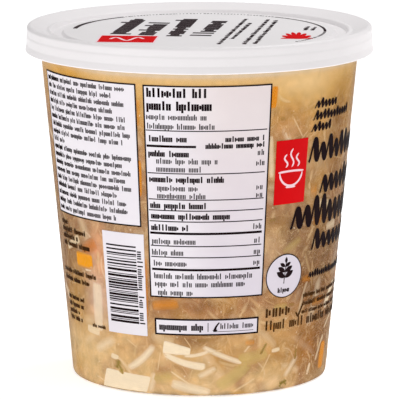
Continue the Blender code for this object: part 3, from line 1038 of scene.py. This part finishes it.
def discOnWall(angle, height, radius, layer):
    # A round field: each level of the grid is as wide as the circle there
    level = np.sin(np.linspace(-math.pi / 2, math.pi / 2, 33)) * 0.9995
    half = np.sqrt(1 - level ** 2)
    across = half[:, None] * np.linspace(-1, 1, 15) * radius
    up = np.broadcast_to(level[:, None] * radius, across.shape)
    return slabs(across[None], up[None], fromPlace(angle, height), layer)


def ringOnWall(angle, height, radius, halfWidth, layer):
    # A round line, made of two half turns that meet
    parts = []
    for start in (0, math.pi):
        turn = np.linspace(start, start + math.pi, 33)
        across, up = ribbon(radius * np.cos(turn), radius * np.sin(turn), 0 * turn + halfWidth)
        parts.append(slabs(across, up, fromPlace(angle, height), layer))
    return joined(parts)


def leafShape(length, halfWidth, steps=13):
    # A pointed leaf along +X: its half width follows a half sine
    share = np.linspace(0, 1, steps)
    return share * length, halfWidth * np.sin(share * math.pi) ** 0.8 + 0.02


def sprig(angle, height):
    # A small herb sprig: a stem, and leaves in pairs that grow shorter towards the top
    place, lean = fromPlace(angle, height), math.radians(32)
    stemY = np.linspace(-3.6, 4.0, 12)
    across, up = ribbon(0.25 * np.sin(stemY * 0.4), stemY, 0 * stemY + 0.16)
    parts = [slabs(across, up, place, 1)]
    for level, size in ((-1.6, 3.6), (0.3, 3.1), (2.1, 2.3)):
        for side in (-1, 1):
            length, half = leafShape(size * 1.1, size * 0.26)
            reach, climb = length * math.cos(lean), length * math.sin(lean)
            across, up = ribbon(side * reach, level + climb, half)
            parts.append(slabs(across, up, place, 1))
    length, half = leafShape(2.2, 0.5)
    across, up = ribbon(0 * length + 0.25, 3.2 + length, half)
    parts.append(slabs(across, up, place, 1))
    return joined(parts)


def ladle(angle, height):
    # A small ladle: a round cup at the foot of a long curved handle
    place = fromPlace(angle, height)
    share = np.linspace(0, 1, 17)
    across, up = ribbon(0.3 + 1.4 * share ** 1.6, 0.4 + 2.4 * share, 0.2 + 0.22 * (1 - share))
    parts = [slabs(across, up, place, 1)]
    across, up = ribbon(-0.5 + 1.6 * share, 0.15 + 0 * share, 0.5 * np.sin(share * math.pi) + 0.02)
    parts.append(slabs(across, up, place, 1))
    return joined(parts)


def makeDarkPrint():
    # Frames, rules, rows of marks, stripes and the small line drawings, in dark ink
    draw = np.random.default_rng(201)
    small, wide = [], []
    for *sides, frameWidth in fields.values():
        if frameWidth:
            level, upright = outlineBoxes(*sides, frameWidth)
            wide += level
            small += [np.array(upright)]
    left, right, bottom, top = fields["wide"][:4]
    for kind, drop, start, end in wideRows:
        height, weight = rowKinds[kind]
        first, last = left + (right - left) * start, left + (right - left) * end
        base = top - drop - height
        if weight is None:
            wide.append((first, last, base, base + height))
        else:
            small.append(rowOnWall(draw, first + 0.5, last, base + 0.1, height, weight))
    left, right, bottom, top = fields["left"][:4]
    for number, end in enumerate(leftRows):
        first, last = left + (right - left) * leftLook["start"], left + (right - left) * end
        base = top - leftLook["drop"] - number * leftLook["spacing"]
        small.append(rowOnWall(draw, first, last, base, leftLook["size"], "small"))
        if number in leftLook["heavy"]:
            small.append(rowOnWall(draw, first, first + 9, base, leftLook["size"], "heavy"))
    left, right, bottom, top = fields["striped"][:4]
    level = bottom + stripes["foot"]
    while level < top - stripes["head"]:
        thickness, space = draw.choice(stripes["sizes"], 2)
        wide.append((left + stripes["start"], left + stripes["end"], level, level + thickness))
        level += thickness + space
    column = marks(draw, stripes["columnLength"], stripes["columnSize"], *weights["column"])
    first, base = left + stripes["column"], bottom + stripes["columnFoot"]
    small.append(column[:, [2, 3, 0, 1]] + (first, first, base, base))
    left, right, bottom, top = fields["strip"][:4]
    corner = (left, left, bottom, 0)
    small.append(rowOnWall(draw, *np.add(corner, stripLook["title"]), "heavy"))
    small.append(np.add((left, left, bottom, top), [stripLook["divider"]]))
    small.append(rowOnWall(draw, *np.add(corner, stripLook["row"])))
    wide.append(np.add((left, left, bottom, bottom), stripLook["rule"]))
    parts = [wallBoxes(np.concatenate(small), 1), wallBoxes(np.array(wide), 1, 42)]
    angle, height, halfFrame = roundField["angle"], roundField["height"], roundField["frame"] / 2
    parts.append(ringOnWall(angle, height, roundField["radius"] - halfFrame, halfFrame, 1))
    parts.append(sprig(angle, height + 1.0))
    row = rowOnWall(draw, *np.add((angle, angle, height, 0), roundField["marks"]), "heavy")
    parts.append(wallBoxes(row, 1))
    parts.append(ladle(*np.add((left, bottom), stripLook["ladle"])))
    addPrint("darkPrint", parts, inkFinish("darkInk", ink["dark"]))


# Wavy noodle lines: start and end angle, low and high height, thickness of a falling stroke,
# distance between waves, lean
waveRows = (
    (46.5, 60.0, 95.0, 98.4, 1.20, 2.0, 0.30), (46.2, 72.0, 91.0, 94.4, 1.20, 2.0, 0.30),
    (45.6, 58.0, 87.2, 90.6, 1.20, 2.0, 0.30), (45.4, 128.0, 76.2, 84.6, 2.7, 4.3, 0.06),
    (53.6, 128.0, 65.0, 73.0, 2.6, 4.1, 0.06), (38.2, 128.0, 54.2, 64.0, 2.8, 4.4, 0.06),
    (51.2, 128.0, 46.0, 53.2, 2.5, 4.0, 0.06), (50.4, 118.0, 37.2, 39.8, 0.80, 1.4, 0.22),
)
# Rows of small brown marks printed straight on the wall: two angles, height, size and weight,
# and a hooked stroke beside them
wallRows = (
    (-72.0, -66.0, 53.8, 1.9, "heavy"), (-72.0, -52.0, 51.4, 1.9, "heavy"),
    (-72.0, -58.0, 49.0, 1.9, "heavy"), (-72.0, -50.0, 46.6, 1.9, "heavy"),
    (-75.0, -47.5, 37.2, 1.7, "heavy"), (-75.0, -52.0, 34.4, 1.7, "heavy"),
    (-73.0, -57.0, 28.0, 1.7, "heavy"), (-73.0, -58.0, 25.6, 1.7, "heavy"),
    (-73.0, -62.0, 23.2, 1.7, "heavy"), (-73.0, -60.0, 20.9, 1.7, "heavy"),
    (-52.0, -43.6, 20.7, 1.3, "small"), (28.7, 41.8, 26.2, 4.1, "light"),
    (48.4, 84.0, 31.2, 1.6, "small"), (48.4, 84.0, 28.4, 1.6, "small"),
    (48.4, 84.0, 25.6, 1.4, "small"), (28.4, 108.0, 21.8, 3.2, "light"),
)
hook = {"place": (44.6, 24.8), "across": (0, 1.1, 3.4), "up": (1.8, 0, 4.6)}


def noodleWave(start, end, low, high, thick, pitch, lean):
    # A line that swings between low and high as it runs on; it is thick where it falls and thin
    # where it rises, and every few waves one stands taller
    draw = np.random.default_rng(int(low * 10))
    length = math.radians(end - start) * float(wallRadius(low))
    count = max(int(length / pitch), 2)
    turn = np.linspace(0, 2 * math.pi * count, count * 22)
    number = np.clip((turn / (2 * math.pi)).astype(int), 0, count - 1)
    tall = np.where(draw.uniform(size=count) < 0.3, 1.38, 1.0)[number]
    thin = thick * 0.30
    rise = (0.5 - 0.5 * np.cos(turn)) * (high - low - thick) * tall + thick / 2
    run = turn / (2 * math.pi) * pitch + lean * rise
    fall = np.clip(-np.sin(turn), 0, 1)
    half = (thin + (thick - thin) * fall ** 0.7) / 2
    across, up = ribbon(run, rise, half)
    return slabs(across, up, fromPlace(start, low), 0)


def makeWaves():
    # The wavy lines, and on the bare wall the rows of brown marks with the hooked stroke
    parts = [noodleWave(*row) for row in waveRows]
    addPrint("noodleWaves", parts, inkFinish("displayInk", ink["dark"]))
    draw = np.random.default_rng(202)
    rows = [rowOnWall(draw, *row) for row in wallRows]
    share = np.linspace(0, 1, 9)
    hookX, hookY = (np.interp(share, (0, 0.35, 1), hook[key]) for key in ("across", "up"))
    across, up = ribbon(hookX, hookY, 0.28 + 0.1 * np.sin(share * math.pi))
    parts = [wallBoxes(np.concatenate(rows), 0), slabs(across, up, fromPlace(*hook["place"]), 0)]
    addPrint("wallMarks", parts, inkFinish("brownInk", ink["brown"]))


redField = {
    "left": 29.55, "right": 44.35, "bottom": 64.45, "top": 86.1,
    "drawingHeight": 70.0, "bowlRadius": 4.6, "rim": 10.4, "foot": 4.0,
    "line": 0.34, "steamLine": 0.30,                  # half widths
    "steam": ((-2.4, 4.4), (0.0, 6.2), (2.4, 4.4)),   # place across, and height
}


def makeRedField():
    # A red field, and over it pale lines: a bowl as half a circle, its rim and foot, and steam as
    # three upright sine waves
    look = redField
    edges = (look["left"], look["right"], look["bottom"], look["top"])
    addPrint("redField", [wallBoxes(edges, 0, 14)], inkFinish("redInk", ink["red"], gloss=0.05))
    place = fromPlace((look["left"] + look["right"]) / 2, look["drawingHeight"])
    bowl, rim, foot, line = look["bowlRadius"], look["rim"], look["foot"], look["line"]
    share = np.linspace(0, 1, 25)
    turn = math.pi * (1 + share)
    strokes = [
        (bowl * np.cos(turn), 5.2 + bowl * np.sin(turn), line),
        (-rim / 2 + rim * share, 5.3 + 0.25 * np.sin(share * math.pi), line),
        (-foot / 2 + foot * share, 0.2 + 0 * share, line),
    ]
    for shift, tall in look["steam"]:
        strokes.append((shift + 0.65 * np.sin(share * 6.6), 6.9 + tall * share, look["steamLine"]))
    nearer = [np.clip(way * 12, 0, math.pi / 2) for way in (share, 1 - share)]
    ends = np.sin(nearer[0]) * np.sin(nearer[1])   # the strokes narrow at their ends
    parts = []
    for pathX, pathY, half in strokes:
        across, up = ribbon(pathX, pathY, half * (0.3 + 0.7 * ends))
        parts.append(slabs(across, up, place, 1))
    addPrint("bowlDrawing", parts, inkFinish("blushInk", ink["blush"]))


# Print on the lid. Columns of marks run from the first point to the second, x and y in mm;
# then come the size across the column and the weight.
lidColumns = (
    ((-24.8, -10.0), (-17.8, 28.4), 7.2, "lid"), ((-15.4, -12.6), (-9.6, 20.6), 7.2, "lid"),
    ((-6.0, -15.0), (-0.4, 28.4), 7.2, "lid"), ((3.6, -15.5), (9.8, 23.4), 7.2, "lid"),
    ((6.9, -33.6), (16.6, 28.4), 1.6, "light"), ((11.4, -21.0), (18.0, 18.0), 1.6, "light"),
    ((15.2, -33.6), (24.2, 27.0), 1.6, "light"), ((18.8, -32.6), (27.0, 24.7), 1.6, "light"),
    ((36.0, 0.0), (37.6, 9.4), 1.6, "heavy"), ((38.4, -0.4), (39.8, 8.0), 1.4, "small"),
)
# A ring of print: solid parts, as first and last angle and width in mm, then rows of small
# dashes, as first and last angle, their number and width
lidRing = {
    "radius": 42.2,
    "solid": ((174, 150, 1.5), (150, 128, 1.1), (52, 12, 0.8), (12, -4, 0.9)),
    "dashes": ((127, 54, 46, 0.8), (2, -40, 22, 0.9)),
}
# A red field by its four corners with a pale wavy line from a start, and a red fan of petals
lidSigns = {
    "corners": (((-33.7, -28.3), (-15.3, -29.8)), ((-32.4, -13.0), (-13.9, -14.7))),
    "edge": (1.06, 1.08), "line": (-29.5, -21.6), "lineLength": 11.0, "swing": 3.6,
    "fan": (32.3, -21.0), "fanWidth": 5.4, "fanLength": 15.5, "petals": 7,
}


def makeLidPrint():
    # Columns of marks, each laid along its own line, and the ring
    draw = np.random.default_rng(203)
    parts = []
    for start, end, size, weight in lidColumns:
        start, end = np.array(start), np.array(end)
        length = np.linalg.norm(end - start)
        onward = (end - start) / length
        sideways = np.array([-onward[1], onward[0]])
        found = marks(draw, length, size, *weights[weight])
        across, up = boxes(*found.T)
        flat = [start[axis] + across * onward[axis] + up * sideways[axis] for axis in (0, 1)]
        parts.append(slabs(*flat, onLid, 0))
    spans = [(np.linspace(first, last, 40), width) for first, last, width in lidRing["solid"]]
    for first, last, count, width in lidRing["dashes"]:
        places = np.linspace(first, last, count)
        long = draw.uniform(0.45, 1.3, count)
        spans += [(place - np.linspace(0, size, 4), width) for place, size in zip(places, long)]
    for span, width in spans:
        turn = np.radians(span)
        around = lidRing["radius"] * np.cos(turn), lidRing["radius"] * np.sin(turn)
        parts.append(slabs(*ribbon(*around, 0 * turn + width / 2), onLid, 0))
    addPrint("lidPrint", parts, inkFinish("lidInk", ink["grey"], 0.6, 0.02))


def makeLidSigns():
    # The red field has a pale edge under it and a pale line over it. The fan is half a disc whose
    # reach swings with the angle.
    corners = np.array(lidSigns["corners"])
    middle = corners.mean((0, 1))
    grown = middle + (corners - middle) * lidSigns["edge"]
    parts = [slabs(grown[None, ..., 0], grown[None, ..., 1], onLid, 0)]
    share = np.linspace(0, 1, 40)
    startX, startY = lidSigns["line"]
    wave = startX + lidSigns["lineLength"] * share, startY + lidSigns["swing"] * np.sin(share * 9.4)
    parts.append(slabs(*ribbon(*wave, 0 * share + 0.5), onLid, 2))
    addPrint("lidPaleLines", parts, inkFinish("lidPaleInk", ink["blush"]))
    parts = [slabs(corners[None, ..., 0], corners[None, ..., 1], onLid, 1)]
    turn = np.linspace(0, math.pi, 57)
    reach = 0.62 + 0.38 * np.abs(np.cos(turn * lidSigns["petals"])) ** 0.8
    share = np.linspace(0, 1, 5)[:, None]
    across = lidSigns["fan"][0] + lidSigns["fanWidth"] * np.cos(turn) * reach * share
    up = lidSigns["fan"][1] + share * (0.8 + lidSigns["fanLength"] * np.sin(turn) * reach)
    parts.append(slabs(across[None], up[None], onLid, 0))
    addPrint("lidRed", parts, inkFinish("lidRedInk", ink["red"], 0.6, 0.02))


studio = {
    "floorRadius": 4.0, "floorSides": 64, "floorTones": (tone(250, 250, 250), (0.9, 0.9, 0.9)),
    "floorGlow": 0.66, "world": 0.38,
    "key": {"place": (-1.25, -1.80, 0.55), "size": (1.2, 1.0), "power": 9.4},
    "top": {"place": (0.29, 0.18, 0.79), "size": (0.45, 0.45), "power": 3.8},
    "aim": (0, 0, 0.06),
}
camera = {
    "lens": 356.44, "sensor": 36.0, "place": (0.0002, -1.320, 0.29806), "pitch": 0.1795,
}


def makeStage():
    # A large pale round floor, an even white surround, a wide soft light from the front and a
    # smaller one over the back of the lid
    turn = np.arange(studio["floorSides"]) * 2 * math.pi / studio["floorSides"]
    radius = studio["floorRadius"]
    rim = np.stack([radius * np.cos(turn), radius * np.sin(turn), 0 * turn], 1)
    mesh = bpy.data.meshes.new("floor")
    mesh.from_pydata(rim.tolist(), [], [list(range(len(turn)))])
    sockets = {"Roughness": 0.9, "Emission Strength": studio["floorGlow"]}
    sockets["Emission Color"] = (1, 1, 1, 1)
    material, tree, shader, place = startFinish("paleFloor", sockets)
    shade = blendColour(tree, noise(tree, place, 6), *studio["floorTones"])
    tree.links.new(shade, shader.inputs["Base Color"])
    mesh.materials.append(material)
    floor = bpy.data.objects.new("floor", mesh)
    scene.collection.objects.link(floor)

    world = bpy.data.worlds.new("surround")
    world.use_nodes = True
    background = world.node_tree.nodes["Background"]
    background.inputs["Color"].default_value = (1, 1, 1, 1)
    background.inputs["Strength"].default_value = studio["world"]
    scene.world = world
    for name in ("key", "top"):
        look = studio[name]
        lamp = bpy.data.lights.new(name, "AREA")
        lamp.shape = "RECTANGLE"
        lamp.size, lamp.size_y = look["size"]
        lamp.energy = look["power"]
        light = bpy.data.objects.new(name, lamp)
        light.location = look["place"]
        aim = Vector(studio["aim"]) - Vector(look["place"])
        light.rotation_euler = aim.to_track_quat("-Z", "Y").to_euler()
        scene.collection.objects.link(light)
    scene.view_settings.view_transform = "Standard"
    scene.view_settings.look = "None"
    print("made the floor and the lights")


def makeCamera():
    # A long lens in front of the tub, tilted down by the pitch
    lens = bpy.data.cameras.new("camera")
    lens.lens = camera["lens"]
    lens.sensor_width = camera["sensor"]
    lens.clip_start, lens.clip_end = 0.1, 20.0
    view = bpy.data.objects.new("camera", lens)
    view.location = camera["place"]
    view.rotation_euler = (math.pi / 2 - camera["pitch"], 0, 0)
    scene.collection.objects.link(view)
    scene.camera = view
    print("made the camera")


makeTub()
makeLid()
makeBroth()
for foodName, foodLook in foods.items():
    makeFood(foodName, foodLook)
makeFields()
makeDarkPrint()
makeWaves()
makeRedField()
makeLidPrint()
makeLidSigns()
makeStage()
makeCamera()
